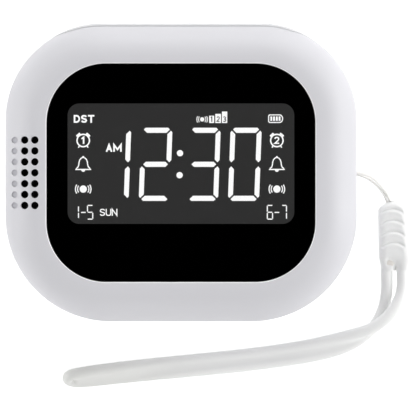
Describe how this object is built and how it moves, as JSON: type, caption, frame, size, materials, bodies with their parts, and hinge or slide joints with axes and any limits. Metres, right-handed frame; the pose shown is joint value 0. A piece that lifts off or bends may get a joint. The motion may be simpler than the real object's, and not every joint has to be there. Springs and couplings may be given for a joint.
{
  "type": "bed shaker alarm clock",
  "caption": "Palm-sized vibrating bedside alarm clock with a dark display window, a top snooze bar, rear keys and a side wrist strap.",
  "frame": {"origin": "centre of the flat rear face, which the clock lies on", "axes": "+Z out of the display, +Y to the snooze bar, +X to the strap side"},
  "size_m": [0.1041, 0.0939, 0.028],
  "materials": {
    "shell_white": "satin",
    "bar_white": "satin",
    "clear_panel": "polished",
    "black_print": "flat",
    "adhesive": "flat",
    "display_glass": "polished",
    "guide_clear": "polished",
    "frame_white": "satin",
    "board_green": "satin",
    "chip_black": "satin",
    "plunger_grey": "satin",
    "key_grey": "satin",
    "steel": "satin",
    "end_cap_black": "satin",
    "pouch_silver": "satin",
    "foam_black": "flat",
    "strip_pink": "flat",
    "cone_film": "satin",
    "mesh_black": "flat",
    "strap_white": "satin",
    "thin_cord_white": "flat"
  },
  "bodies": {
    "case": {"battery_cell": "pouch_silver", "battery_pad": "foam_black", "board_screws": "steel", "case_screws": "steel", "contact_strips": "strip_pink", "display_frame": "frame_white", "front_shell": "shell_white", "grille_mesh": "mesh_black", "key_board": "board_green", "key_switches": "chip_black", "lcd_cell": "display_glass", "lens_mask": "black_print", "lens_panel": "clear_panel", "lens_tape": "adhesive", "light_guide": "guide_clear", "lock_switch": "chip_black", "main_board": "board_green", "main_board_parts": "chip_black", "motor_can": "steel", "motor_clamp": "steel", "motor_end_cap": "end_cap_black", "rear_shell": "shell_white", "snooze_switch": "chip_black", "speaker_basket": "end_cap_black", "speaker_cone": "cone_film", "speaker_gasket": "foam_black", "speaker_magnet": "steel", "strap_cord": "thin_cord_white", "strap_loop": "strap_white", "strap_sleeve": "strap_white", "usb_shell": "steel", "usb_tongue": "chip_black"},
    "snooze": {"snooze_bar": "bar_white", "snooze_plunger": "plunger_grey"},
    "lock": {"lock_slider": "key_grey", "lock_lever": "plunger_grey"},
    "rotor": {"motor_shaft": "steel", "motor_weight": "steel"},
    "clock": {"clock_key": "key_grey", "clock_plunger": "plunger_grey"},
    "alarm_1": {"alarm_1_key": "key_grey", "alarm_1_plunger": "plunger_grey"},
    "alarm_2": {"alarm_2_key": "key_grey", "alarm_2_plunger": "plunger_grey"},
    "down": {"down_key": "key_grey", "down_plunger": "plunger_grey"},
    "up": {"up_key": "key_grey", "up_plunger": "plunger_grey"},
    "level": {"level_key": "key_grey", "level_plunger": "plunger_grey"}
  },
  "joints": [
    {"name": "snooze_press", "type": "slide", "parent": "case", "child": "snooze", "axis": [0, -1, 0], "range_m": [0, 0.0006], "stiffness_N_per_m": 1200},
    {"name": "clock_press", "type": "slide", "parent": "case", "child": "clock", "axis": [0, 0, 1], "range_m": [0, 0.0003], "stiffness_N_per_m": 1000},
    {"name": "alarm_1_press", "type": "slide", "parent": "case", "child": "alarm_1", "axis": [0, 0, 1], "range_m": [0, 0.0003], "stiffness_N_per_m": 1000},
    {"name": "alarm_2_press", "type": "slide", "parent": "case", "child": "alarm_2", "axis": [0, 0, 1], "range_m": [0, 0.0003], "stiffness_N_per_m": 1000},
    {"name": "down_press", "type": "slide", "parent": "case", "child": "down", "axis": [0, 0, 1], "range_m": [0, 0.0003], "stiffness_N_per_m": 1000},
    {"name": "up_press", "type": "slide", "parent": "case", "child": "up", "axis": [0, 0, 1], "range_m": [0, 0.0003], "stiffness_N_per_m": 1000},
    {"name": "level_press", "type": "slide", "parent": "case", "child": "level", "axis": [0, 0, 1], "range_m": [0, 0.0003], "stiffness_N_per_m": 1000},
    {"name": "lock_slide", "type": "slide", "parent": "case", "child": "lock", "axis": [1, 0, 0], "range_m": [0, 0.003]},
    {"name": "rotor_spin", "type": "hinge", "parent": "case", "child": "rotor", "pos_m": [0.025, -0.021, 0.0101], "axis": [0, 1, 0], "continuous": true}
  ]
}
